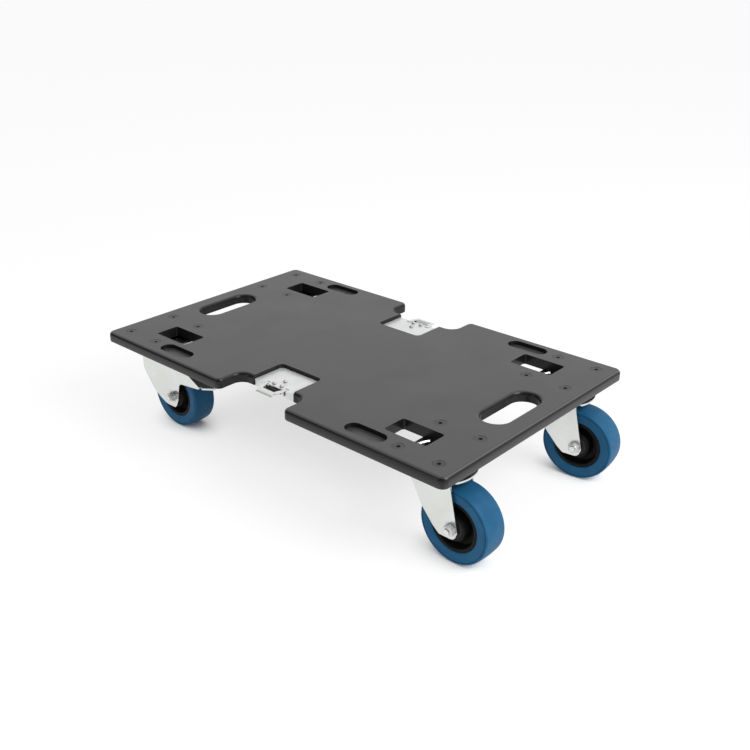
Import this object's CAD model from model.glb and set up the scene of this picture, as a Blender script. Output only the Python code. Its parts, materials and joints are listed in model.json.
import json
import math

import bmesh
import bpy
from mathutils import Matrix, Vector


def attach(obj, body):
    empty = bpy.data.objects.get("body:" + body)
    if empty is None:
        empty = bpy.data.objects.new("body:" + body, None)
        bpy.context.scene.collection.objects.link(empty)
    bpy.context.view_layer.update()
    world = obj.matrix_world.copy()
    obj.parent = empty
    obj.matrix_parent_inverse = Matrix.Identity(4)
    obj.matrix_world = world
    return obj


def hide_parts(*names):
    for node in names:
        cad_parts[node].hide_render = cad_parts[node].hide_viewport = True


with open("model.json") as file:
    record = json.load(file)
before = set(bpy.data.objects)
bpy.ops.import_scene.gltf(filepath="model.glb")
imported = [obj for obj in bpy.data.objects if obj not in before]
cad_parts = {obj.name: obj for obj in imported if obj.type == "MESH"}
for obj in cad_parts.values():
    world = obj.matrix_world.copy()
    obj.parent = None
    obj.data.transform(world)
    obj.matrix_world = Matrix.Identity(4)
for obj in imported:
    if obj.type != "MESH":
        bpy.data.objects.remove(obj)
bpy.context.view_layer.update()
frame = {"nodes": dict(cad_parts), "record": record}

bodyOf = {node: body for body, nodes in frame["record"]["behaviour"]["bodies"].items() for node in nodes}
slotOf = {part["node"]: part["material_slot"] for part in frame["record"]["subparts"]}
nodesLeft = set(frame["nodes"])

corners = {
    "left_front": {"x": -0.263, "y": -0.1345, "turn": 0, "braked": True},
    "right_front": {"x": 0.263, "y": -0.1345, "turn": 0, "braked": False},
    "right_back": {"x": 0.263, "y": 0.1345, "turn": 7, "braked": False},
    "left_back": {"x": -0.263, "y": 0.1345, "turn": 0, "braked": True},
}
trail = 0.038  # how far the axle trails behind the swivel axis
axleZ = -0.093


# camera, as the photograph was taken

cameraSet = {"lens": 47.147, "place": (0.87742, -0.95842, 0.56220), "shiftX": 0.0594, "shiftY": -0.0281}

right = Vector((0.723736, 0.690019, -0.008935))
down = Vector((0.271033, -0.296137, -0.915884))
ahead = Vector((-0.634624, 0.660437, -0.401343))
cameraData = bpy.data.cameras.new("photoCamera")
cameraData.sensor_width = 36
cameraData.lens = cameraSet["lens"]
cameraData.shift_x = cameraSet["shiftX"]
cameraData.shift_y = cameraSet["shiftY"]
cameraData.clip_start = 0.01
camera = bpy.data.objects.new("photoCamera", cameraData)
bpy.context.scene.collection.objects.link(camera)
turnMatrix = Matrix((right, -down, -ahead)).transposed()
camera.matrix_world = Matrix.Translation(cameraSet["place"]) @ turnMatrix.to_4x4()
bpy.context.scene.camera = camera
bpy.context.scene.view_settings.view_transform = "Standard"
print("camera placed")


# node helpers for the finishes

noiseSpan = (0.3, 0.7)  # most of a noise's values lie in here
plainRoughness = {"film": 0.38, "metal": 0.3, "rubber": 0.45, "paper": 0.9}  # for what reads no pattern
creviceSamples = 8


def newFinish(name, base, metallic, roughness):
    finish = bpy.data.materials.new(name)
    finish.use_nodes = True
    shader = finish.node_tree.nodes["Principled BSDF"]
    shader.inputs["Base Color"].default_value = (*base, 1)
    shader.inputs["Metallic"].default_value = metallic
    shader.inputs["Roughness"].default_value = roughness
    finish.diffuse_color = (*base, 1)
    place = finish.node_tree.nodes.new("ShaderNodeTexCoord")
    return finish, finish.node_tree, shader, place.outputs["Object"]


def addNoise(tree, place, scale, detail, roughness=0.55, distortion=0):
    noise = tree.nodes.new("ShaderNodeTexNoise")
    noise.inputs["Scale"].default_value = scale
    noise.inputs["Detail"].default_value = detail
    noise.inputs["Roughness"].default_value = roughness
    noise.inputs["Distortion"].default_value = distortion
    tree.links.new(place, noise.inputs["Vector"])
    return noise.outputs["Fac"]


def addCells(tree, place, scale):
    cells = tree.nodes.new("ShaderNodeTexVoronoi")
    cells.inputs["Scale"].default_value = scale
    tree.links.new(place, cells.inputs["Vector"])
    return cells


def addRamp(tree, fac, stops):
    ramp = tree.nodes.new("ShaderNodeValToRGB")
    for stop, (spot, colour) in zip(ramp.color_ramp.elements, stops):
        stop.position = spot
        stop.color = (*colour, 1)
    tree.links.new(fac, ramp.inputs["Fac"])
    return ramp.outputs["Color"]


def addMath(tree, operation, first, second=None):
    reckon = tree.nodes.new("ShaderNodeMath")
    reckon.operation = operation
    for value, socket in zip((first, second), reckon.inputs):
        if isinstance(value, bpy.types.NodeSocket):
            tree.links.new(value, socket)
        elif value is not None:
            socket.default_value = value
    return reckon.outputs[0]


def addSpread(tree, value, low, high, start=0, end=1, smooth=False):
    spread = tree.nodes.new("ShaderNodeMapRange")
    if smooth:
        spread.interpolation_type = "SMOOTHSTEP"
    for name, number in (("From Min", low), ("From Max", high), ("To Min", start), ("To Max", end)):
        spread.inputs[name].default_value = number
    tree.links.new(value, spread.inputs["Value"])
    return spread.outputs["Result"]


def addRange(tree, noise, low, high):
    return addSpread(tree, noise, *noiseSpan, low, high)


def addBump(tree, height, strength, distance):
    bump = tree.nodes.new("ShaderNodeBump")
    bump.inputs["Strength"].default_value = strength
    bump.inputs["Distance"].default_value = distance
    tree.links.new(height, bump.inputs["Height"])
    return bump.outputs["Normal"]


def stretched(tree, place, scale):
    mapping = tree.nodes.new("ShaderNodeMapping")
    mapping.inputs["Scale"].default_value = scale
    tree.links.new(place, mapping.inputs["Vector"])
    return mapping.outputs["Vector"]


# finishes

deckFilm = {
    "base": 0.028, "dark": 0.031, "pale": 0.038, "roughness": (0.37, 0.42), "gloss": 0.5, "plainGloss": 0.4,
    "cloud": (9, 3), "rub": (14, 4), "grain": (900, 2), "bump": (0.06, 0.0002),
}
edgePaint = {"base": 0.008, "gloss": 0.24, "roughness": 0.28, "steep": 0.62, "level": 0.93}
outerEdge = {  # the board's outside is handled most: paler low on its side and along its rounded corner
    "reach": (1 / 0.32, 1 / 0.2, 0), "from": 0.985, "to": 0.997, "top": -0.004, "foot": -0.0148,
    "worn": 0.045, "side": (0.3, 0.6), "rub": 0.085, "rubRise": (0.66, 0.80), "rubFall": (0.90, 0.975),
}


def addOuter(tree, place):  # 1 on the board's outside edge, 0 elsewhere, and the height
    parts = tree.nodes.new("ShaderNodeSeparateXYZ")
    tree.links.new(stretched(tree, place, outerEdge["reach"]), parts.inputs["Vector"])
    furthest = addMath(tree, "MAXIMUM", addMath(tree, "ABSOLUTE", parts.outputs["X"]),
                       addMath(tree, "ABSOLUTE", parts.outputs["Y"]))
    plain = tree.nodes.new("ShaderNodeSeparateXYZ")
    tree.links.new(place, plain.inputs["Vector"])
    return addSpread(tree, furthest, outerEdge["from"], outerEdge["to"]), plain.outputs["Z"]


def addLevel(tree, steep, level, low, high):  # low on a steep face, high on a level one
    direction = tree.nodes.new("ShaderNodeTexCoord").outputs["Normal"]
    parts = tree.nodes.new("ShaderNodeSeparateXYZ")
    tree.links.new(direction, parts.inputs["Vector"])
    either = addMath(tree, "ABSOLUTE", parts.outputs["Z"])
    return addSpread(tree, either, steep, level, low, high, smooth=True)


def addMix(tree, share, kind, first, second):
    mixed = tree.nodes.new("ShaderNodeMix")
    mixed.data_type = kind
    ending = {"RGBA": "Color", "FLOAT": "Float"}[kind]
    slots = [start + ending for start in ("A_", "B_", "Result_")]
    sockets = {socket.identifier: socket for socket in list(mixed.inputs) + list(mixed.outputs)}
    tree.links.new(share, sockets["Factor_Float"])
    for name, value in zip(slots, (first, second)):
        if isinstance(value, bpy.types.NodeSocket):
            tree.links.new(value, sockets[name])
        else:
            sockets[name].default_value = (*value, 1) if kind == "RGBA" else value
    return sockets[slots[2]]


def grey(level):
    return (level, level, level)


def filmFinish():
    finish, tree, shader, place = newFinish("deckFilm", grey(deckFilm["base"]), 0, plainRoughness["film"])
    span = (edgePaint["steep"], edgePaint["level"])
    top = addLevel(tree, *span, 0, 1)
    cloud = addNoise(tree, place, *deckFilm["cloud"])
    film = addRamp(tree, cloud, zip(noiseSpan, (grey(deckFilm["dark"]), grey(deckFilm["pale"]))))
    coat = addMix(tree, top, "RGBA", grey(edgePaint["base"]), film)
    outer, height = addOuter(tree, place)
    low = addMath(tree, "MULTIPLY", outer, addSpread(tree, height, outerEdge["top"], outerEdge["foot"]))
    low = addMath(tree, "MULTIPLY", low, addLevel(tree, *outerEdge["side"], 1, 0))
    worn = addMix(tree, low, "RGBA", coat, grey(outerEdge["worn"]))
    rise = addLevel(tree, *outerEdge["rubRise"], 0, 1)
    fall = addLevel(tree, *outerEdge["rubFall"], 1, 0)
    rubbed = addMath(tree, "MULTIPLY", outer, addMath(tree, "MULTIPLY", rise, fall))
    tree.links.new(addMix(tree, rubbed, "RGBA", worn, grey(outerEdge["rub"])), shader.inputs["Base Color"])
    gloss = addLevel(tree, *span, edgePaint["gloss"], deckFilm["gloss"])
    shader.inputs["Specular IOR Level"].default_value = deckFilm["plainGloss"]
    tree.links.new(gloss, shader.inputs["Specular IOR Level"])
    rub = addRange(tree, addNoise(tree, place, *deckFilm["rub"]), *deckFilm["roughness"])
    tree.links.new(addMix(tree, top, "FLOAT", edgePaint["roughness"], rub), shader.inputs["Roughness"])
    grain = addNoise(tree, place, *deckFilm["grain"])
    tree.links.new(addBump(tree, grain, *deckFilm["bump"]), shader.inputs["Normal"])
    return finish


zincCoat = {"cool": (0.73, 0.74, 0.73), "warm": (0.67, 0.69, 0.65), "roughness": (0.17, 0.25)}
zincGrain = {
    "cloud": (26, 4, 0.6, 0.4), "warmTo": 0.32, "coolFrom": 0.62, "stretch": (60, 60, 260), "rub": (1, 5),
    "fine": (700, 3), "bump": (0.06, 0.0002),
}
grime = {"colour": (0.06, 0.06, 0.058), "reach": 0.018, "from": 0.30, "to": 0.85, "least": 0}


def addCrevice(tree, crevice):  # its least value in a narrow place, 1 on an open face
    near = tree.nodes.new("ShaderNodeAmbientOcclusion")
    near.samples = creviceSamples
    near.inputs["Distance"].default_value = crevice["reach"]
    return addSpread(tree, near.outputs["AO"], crevice["from"], crevice["to"], crevice["least"])


def zincFinish(name, cool, warm, roughness, metallic=1):
    finish, tree, shader, place = newFinish(name, cool, metallic, plainRoughness["metal"])
    cloud = addNoise(tree, place, *zincGrain["cloud"])
    coat = addRamp(tree, cloud, [(zincGrain["warmTo"], warm), (zincGrain["coolFrom"], cool)])
    dulled = addMix(tree, addCrevice(tree, grime), "RGBA", grime["colour"], coat)
    tree.links.new(dulled, shader.inputs["Base Color"])
    rub = addNoise(tree, stretched(tree, place, zincGrain["stretch"]), *zincGrain["rub"])
    tree.links.new(addRange(tree, rub, *roughness), shader.inputs["Roughness"])
    fine = addNoise(tree, place, *zincGrain["fine"])
    tree.links.new(addBump(tree, fine, *zincGrain["bump"]), shader.inputs["Normal"])
    return finish


spangle = {
    "pale": (0.67, 0.675, 0.67), "grey": (0.62, 0.63, 0.63), "metal": 0.45, "roughness": (0.30, 0.38),
    "cells": 150, "cloud": (40, 3), "flakes": (0.2, 0.8), "wash": (0.35, 0.6), "share": (0.2, 0.5),
    "bump": (0.05, 0.0003),
}


def spangleFinish():
    metal = (spangle["metal"], plainRoughness["metal"])
    finish, tree, shader, place = newFinish("galvanisedSheet", spangle["pale"], *metal)
    shades = (spangle["grey"], spangle["pale"])
    cells = addCells(tree, place, spangle["cells"])
    cloud = addNoise(tree, place, *spangle["cloud"])
    flake = addRamp(tree, cells.outputs["Color"], zip(spangle["flakes"], shades))
    wash = addRamp(tree, cloud, zip(spangle["wash"], shades))
    share = addRange(tree, cloud, *spangle["share"])
    tree.links.new(addMix(tree, share, "RGBA", wash, flake), shader.inputs["Base Color"])
    dull = addRange(tree, cells.outputs["Distance"], *spangle["roughness"])
    tree.links.new(dull, shader.inputs["Roughness"])
    tree.links.new(addBump(tree, cloud, *spangle["bump"]), shader.inputs["Normal"])
    return finish


rubberGrain = {
    "cloud": (55, 4), "deepTo": 0.3, "paleFrom": 0.65, "rub": (130, 5), "skin": (1500, 3),
    "bump": (0.10, 0.0002),
}


def rubberFinish(name, deep, pale, roughness, gloss=0.3):
    finish, tree, shader, place = newFinish(name, pale, 0, plainRoughness["rubber"])
    cloud = addNoise(tree, place, *rubberGrain["cloud"])
    shades = addRamp(tree, cloud, [(rubberGrain["deepTo"], deep), (rubberGrain["paleFrom"], pale)])
    tree.links.new(shades, shader.inputs["Base Color"])
    rub = addNoise(tree, place, *rubberGrain["rub"])
    tree.links.new(addRange(tree, rub, *roughness), shader.inputs["Roughness"])
    skin = addNoise(tree, place, *rubberGrain["skin"])
    tree.links.new(addBump(tree, skin, *rubberGrain["bump"]), shader.inputs["Normal"])
    shader.inputs["Specular IOR Level"].default_value = gloss
    return finish


blueRubber = {
    "deep": (0.007, 0.070, 0.158), "pale": (0.012, 0.086, 0.176), "roughness": (0.42, 0.56), "gloss": 0.14,
}
blackPlastic = {"deep": grey(0.003), "pale": (0.006, 0.006, 0.005), "roughness": (0.42, 0.55), "gloss": 0.12}
blackSteel = {"deep": grey(0.020), "pale": grey(0.028), "roughness": (0.36, 0.42), "gloss": 0.45}
sealRubber = {"deep": grey(0.012), "pale": grey(0.022), "roughness": (0.5, 0.65)}
dullRivet = {"cool": grey(0.50), "warm": grey(0.44), "roughness": (0.45, 0.55), "metallic": 0.4}
brightSteel = {"cool": (0.78, 0.78, 0.80), "warm": (0.70, 0.70, 0.71), "roughness": (0.12, 0.24)}

finishes = {
    "deck_coating": filmFinish(),
    "black_steel": rubberFinish("blackenedSteel", **blackSteel),
    "zinc": zincFinish("zincCoat", **zincCoat),
    "galvanised": spangleFinish(),
    "ball_steel": zincFinish("brightSteel", **brightSteel),
    "seal": rubberFinish("sealRubber", **sealRubber),
    "dull": zincFinish("dullRivet", **dullRivet),
    "blue_tyre": rubberFinish("blueRubber", **blueRubber),
    "black_rim": rubberFinish("blackPlastic", **blackPlastic),
}
print("finishes made:", len(finishes))


# pieces

# a bearing shows its seals, nuts are pale, a lever shines more than its tray, rivets less, and the back latch
# is pale inside
seenAs = {
    "bearings": "seal", "axle_nut": "galvanised", "latch_lever": "zinc", "latch_rivets": "dull",
    "back_latch_base": "galvanised", "back_latch_claw": "galvanised",
}


def finishFor(node):
    shown = [finish for ending, finish in seenAs.items() if node.endswith(ending)]
    return finishes[shown[0] if shown else slotOf[node]]


def camel(node):
    words = node.split("_")
    return words[0] + "".join(word.capitalize() for word in words[1:])


def finishPiece(bm, node, sharp):
    name = camel(node)
    mesh = bpy.data.meshes.new(name)
    for face in bm.faces:
        face.smooth = True
    for edge in bm.edges:
        edge.smooth = len(edge.link_faces) == 2 and edge.calc_face_angle(0) < math.radians(sharp)
    bm.to_mesh(mesh)
    bm.free()
    piece = bpy.data.objects.new(name, mesh)
    bpy.context.scene.collection.objects.link(piece)
    mesh.materials.append(finishFor(node))
    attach(piece, bodyOf[node])
    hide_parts(node)
    nodesLeft.discard(node)
    return piece


merging = {"verts": 0.000004, "slivers": 0.000002, "seam": 0.000001, "flat": 0.6}


def mergedCopy(node):
    bm = bmesh.new()
    source = frame["nodes"][node]
    bm.from_mesh(source.data)
    bmesh.ops.remove_doubles(bm, verts=bm.verts, dist=merging["verts"])
    bmesh.ops.dissolve_degenerate(bm, edges=bm.edges, dist=merging["slivers"])
    bmesh.ops.dissolve_limit(bm, angle_limit=math.radians(merging["flat"]), verts=bm.verts, edges=bm.edges)
    return bm


normalWeight = 90


def evenShading(piece):
    weights = piece.modifiers.new("evenShading", "WEIGHTED_NORMAL")
    weights.keep_sharp = True
    weights.weight = normalWeight


def pressedPiece(node, edge, sharp=35):
    piece = finishPiece(mergedCopy(node), node, sharp)
    if edge:
        soft = piece.modifiers.new("softEdge", "BEVEL")
        soft.width = edge
        soft.segments = 2
        soft.limit_method = "ANGLE"
        soft.angle_limit = math.radians(sharp)
        soft.use_clamp_overlap = True
    evenShading(piece)


def casterPlace(corner):
    spot = corners[corner]
    return Matrix.Translation((spot["x"], spot["y"], 0)) @ Matrix.Rotation(math.radians(spot["turn"]), 4, "Z")


def spunPiece(node, profile, place, steps):  # the profile is in millimetres
    bm = bmesh.new()
    verts = [bm.verts.new((radius / 1000, along / 1000, 0)) for radius, along in profile]
    edges = [bm.edges.new((verts[index], verts[(index + 1) % len(verts)])) for index in range(len(verts))]
    bmesh.ops.spin(bm, geom=verts + edges, cent=(0, 0, 0), axis=(0, 1, 0), angle=math.tau, steps=steps,
                   use_merge=True)
    bmesh.ops.remove_doubles(bm, verts=bm.verts, dist=merging["seam"])
    bmesh.ops.recalc_face_normals(bm, faces=bm.faces)
    bmesh.ops.transform(bm, matrix=place, verts=bm.verts)
    finishPiece(bm, node, sharp=50)


# deck, screws and nuts

pressedPiece("deck_board", edge=0, sharp=28)
pressedPiece("deck_screws", edge=0.00025)
pressedPiece("plate_nuts", edge=0.0004)
print("deck and its screws made")


# wheels

tyreSet = {
    "outside": 49.99, "crown": 0.8, "halfWidth": 18, "shoulder": 2.2, "bore": 33.5, "stepRadius": 46.3,
    "innerStep": 36.0, "innerDrop": 0.2, "treadSteps": 6, "bend": 15, "turns": 120,
    "seat": [(0.05, 1.5), (0.7, 0.6)],  # out from the bore, in from the side
    "groove": [(-0.6, 0), (-0.2, 0.8), (0.3, 0.8), (0.6, 0)],  # out from the step, in from the side
}
rimSet = {
    "outside": 33.5, "inner": 29, "hub": 18, "bearing": 14, "halfRim": 16.5, "halfWeb": 3.5, "halfHub": 19,
    "halfSeat": 11, "turns": 96,
}
rimLine = [  # a radius and how far out from it, a half width and how far beyond it
    ("outside", 0, "halfRim", -0.6), ("outside", -0.6, "halfRim", 0), ("inner", 0.5, "halfRim", 0),
    ("inner", 0, "halfRim", -0.5), ("inner", -0.4, "halfWeb", 3), ("inner", -1.6, "halfWeb", 0.8),
    ("inner", -3, "halfWeb", 0), ("hub", 3, "halfWeb", 0), ("hub", 1, "halfWeb", 1),
    ("hub", 0, "halfWeb", 3.2), ("hub", -0.3, "halfHub", -0.8), ("hub", -1, "halfHub", 0),
    ("bearing", 0.6, "halfHub", 0), ("bearing", 0, "halfHub", -0.4), ("bearing", 0, "halfSeat", 0),
    ("bearing", -3, "halfSeat", 0),
]


def mirrored(half):
    return [(radius, -along) for radius, along in reversed(half)]


def tyreProfile():
    t = tyreSet
    flat = t["halfWidth"] - t["shoulder"]
    shoulderR = t["outside"] - t["crown"] - t["shoulder"]
    side = [(t["bore"] + out, t["halfWidth"] - drop) for out, drop in t["seat"]]
    side.append((t["innerStep"], t["halfWidth"] - t["innerDrop"]))
    side += [(t["stepRadius"] + out, t["halfWidth"] - drop) for out, drop in t["groove"]]
    angles = [math.radians(a) for a in range(0, 91, t["bend"])]
    bend = [(shoulderR + t["shoulder"] * math.sin(a), flat + t["shoulder"] * math.cos(a)) for a in angles]
    steps = t["treadSteps"]
    across = range(steps - 1, 0, -1)
    tread = [(t["outside"] - t["crown"] * (y / steps) ** 2, flat * y / steps) for y in across]
    half = side + bend + tread
    return half + [(t["outside"], 0)] + mirrored(half)


def rimProfile():
    half = [(rimSet[around] + out, rimSet[across] + beyond) for around, out, across, beyond in rimLine]
    return half + mirrored(half)


for corner in corners:
    axle = casterPlace(corner) @ Matrix.Translation((trail, 0, axleZ))
    spunPiece(corner + "_tyre", tyreProfile(), axle, tyreSet["turns"])
    spunPiece(corner + "_rim", rimProfile(), axle, rimSet["turns"])
print("wheels made")


# forks, plates and their fasteners

# how the legs' leading edge is rolled inwards: [height, where the roll starts behind the swivel axis]
forkRoll = {
    "line": [(-0.031, -0.012), (-0.043, -0.017), (-0.075, -0.026), (-0.110, -0.030)],
    "full": -0.036, "radius": 0.062, "steepest": 0.95, "inner": 0.015,
}
forkCuts = {  # [first, step, number] of the cuts along the fork and down it, so that the mesh can bend
    "along": (-0.0105, -0.0015, 19), "down": (-0.0315, -0.004, 12), "reach": 0.000002,
}


def rollStart(z):
    line = forkRoll["line"]
    for (highZ, highX), (lowZ, lowX) in zip(line, line[1:]):
        if z >= lowZ:
            share = min(1, max(0, (highZ - z) / (highZ - lowZ)))
            return highX + (lowX - highX) * share
    return line[-1][1]


def rollShift(spot):
    ahead = rollStart(spot.z) - spot.x
    if ahead <= 0 or abs(spot.y) < forkRoll["inner"]:
        return 0
    radius = forkRoll["radius"]
    drop = radius * (1 - math.cos(math.asin(min(forkRoll["steepest"], ahead / radius))))
    top = forkRoll["line"][0][0]
    return drop * min(1, max(0, (top - spot.z) / (top - forkRoll["full"])))


def rolledFork(corner):
    node = corner + "_fork"
    bm = mergedCopy(node)
    home = casterPlace(corner)
    bmesh.ops.transform(bm, matrix=home.inverted(), verts=bm.verts)
    first, step, number = forkCuts["along"]
    cuts = [((first + index * step, 0, 0), (1, 0, 0)) for index in range(number)]
    first, step, number = forkCuts["down"]
    cuts += [((0, 0, first + index * step), (0, 0, 1)) for index in range(number)]
    for place, facing in cuts:
        bmesh.ops.bisect_plane(bm, geom=bm.verts[:] + bm.edges[:] + bm.faces[:], plane_co=place,
                               plane_no=facing, dist=forkCuts["reach"])
    for vert in bm.verts:
        vert.co.y -= math.copysign(rollShift(vert.co), vert.co.y)
    bmesh.ops.triangulate(bm, faces=[face for face in bm.faces if len(face.verts) > 4])
    bmesh.ops.transform(bm, matrix=home, verts=bm.verts)
    evenShading(finishPiece(bm, node, sharp=30))


casterEdges = {"_top_plate": 0.0005, "_axle_bolt": 0.0004, "_axle_nut": 0.0004}
brakeEdges = {"_brake_pedal": 0.0005, "_pedal_pin": 0.0004, "_pedal_spring": 0.0002}

for corner, spot in corners.items():
    rolledFork(corner)
    edges = {**casterEdges, **brakeEdges} if spot["braked"] else casterEdges
    for ending, edge in edges.items():
        pressedPiece(corner + ending, edge)
print("forks and brakes made")


# latches

latchEdges = {"_tray": 0.0003, "_base": 0.0003, "_lever": 0.0004, "_claw": 0.0003}

for side in ("front", "back"):
    for ending, edge in latchEdges.items():
        pressedPiece(side + "_latch" + ending, edge)
print("latches made")

for node in sorted(nodesLeft):  # these keep their own solids
    solid = frame["nodes"][node]
    solid.data.materials.clear()
    solid.data.materials.append(finishFor(node))
print("carried over:", len(nodesLeft))


# floor and light

floorSet = {"size": 60, "colour": (0.97, 0.97, 0.97), "z": -0.143, "lift": 0.76}
contact = {"reach": 0.045, "from": 0.30, "to": 0.85, "least": 0}
underBoard = {"reach": 0.30, "from": 0.10, "to": 0.34, "least": 0.66}
skyStrength = 0.84
white = (1, 1, 1, 1)
room = {"facing": (0.10, 0.95, -0.30), "darkFrom": -0.55, "whiteFrom": 0.0, "dark": 0.14}
lamps = {
    "softKey": {"place": (1.7, 0.25, 1.3), "size": 1.3, "watts": 34},
    "edgeLight": {"place": (-0.7, -2.1, 0.4), "size": 0.7, "watts": 4},
}


def addSeen(tree):
    path = tree.nodes.new("ShaderNodeLightPath")
    either = addMath(tree, "MAXIMUM", path.outputs["Is Camera Ray"], path.outputs["Is Glossy Ray"])
    return addMath(tree, "MAXIMUM", either, path.outputs["Is Transmission Ray"])


def makeFloor():
    bm = bmesh.new()
    bmesh.ops.create_grid(bm, x_segments=2, y_segments=2, size=floorSet["size"] / 2)
    bmesh.ops.translate(bm, verts=bm.verts, vec=(0, 0, floorSet["z"]))
    mesh = bpy.data.meshes.new("studioFloor")
    bm.to_mesh(mesh)
    bm.free()
    floor = bpy.data.objects.new("studioFloor", mesh)
    bpy.context.scene.collection.objects.link(floor)
    finish, tree, shader = newFinish("floorPaper", floorSet["colour"], 0, plainRoughness["paper"])[:3]
    shader.inputs["Specular IOR Level"].default_value = 0
    glow = tree.nodes.new("ShaderNodeEmission")  # white paper for the camera and for shiny pieces
    glow.inputs["Color"].default_value = white
    lift = addMath(tree, "MULTIPLY", addSeen(tree), floorSet["lift"])
    shaded = addMath(tree, "MULTIPLY", addCrevice(tree, contact), addCrevice(tree, underBoard))
    clear = addMath(tree, "MULTIPLY", lift, shaded)  # keeps the shadows under the wheels and the board
    mixed = tree.nodes.new("ShaderNodeMixShader")
    tree.links.new(clear, mixed.inputs["Fac"])
    tree.links.new(shader.outputs[0], mixed.inputs[1])
    tree.links.new(glow.outputs[0], mixed.inputs[2])
    tree.links.new(mixed.outputs[0], tree.nodes["Material Output"].inputs["Surface"])
    mesh.materials.append(finish)


def addRoom(tree):  # shiny pieces see the white backdrop, and a darker room on the other side
    place = tree.nodes.new("ShaderNodeTexCoord").outputs["Generated"]
    facing = tree.nodes.new("ShaderNodeVectorMath")
    facing.operation = "DOT_PRODUCT"
    facing.inputs[1].default_value = room["facing"]
    tree.links.new(place, facing.inputs[0])
    span = (room["darkFrom"], room["whiteFrom"])
    shade = addSpread(tree, facing.outputs["Value"], *span, room["dark"], smooth=True)
    path = tree.nodes.new("ShaderNodeLightPath")
    return addMath(tree, "MAXIMUM", shade, path.outputs["Is Camera Ray"])


def makeSky():
    world = bpy.data.worlds.new("softStudio")
    bpy.context.scene.world = world
    world.use_nodes = True
    tree = world.node_tree
    sky = tree.nodes["Background"]
    sky.inputs["Color"].default_value = white
    sky.inputs["Strength"].default_value = skyStrength
    seen = tree.nodes.new("ShaderNodeBackground")
    seen.inputs["Color"].default_value = white
    seen.inputs["Strength"].default_value = 1
    tree.links.new(addRoom(tree), seen.inputs["Color"])
    mixed = tree.nodes.new("ShaderNodeMixShader")
    tree.links.new(addSeen(tree), mixed.inputs["Fac"])
    tree.links.new(sky.outputs[0], mixed.inputs[1])
    tree.links.new(seen.outputs[0], mixed.inputs[2])
    tree.links.new(mixed.outputs[0], tree.nodes["World Output"].inputs["Surface"])


def makeLamp(name, place, size, watts):
    lampData = bpy.data.lights.new(name, "AREA")
    lampData.shape = "DISK"
    lampData.size = size
    lampData.energy = watts
    lamp = bpy.data.objects.new(name, lampData)
    lamp.location = place
    lamp.rotation_euler = (-Vector(place)).to_track_quat("-Z", "Y").to_euler()
    bpy.context.scene.collection.objects.link(lamp)


makeFloor()
makeSky()
for name, lampSet in lamps.items():
    makeLamp(name, **lampSet)
print("floor and light made")
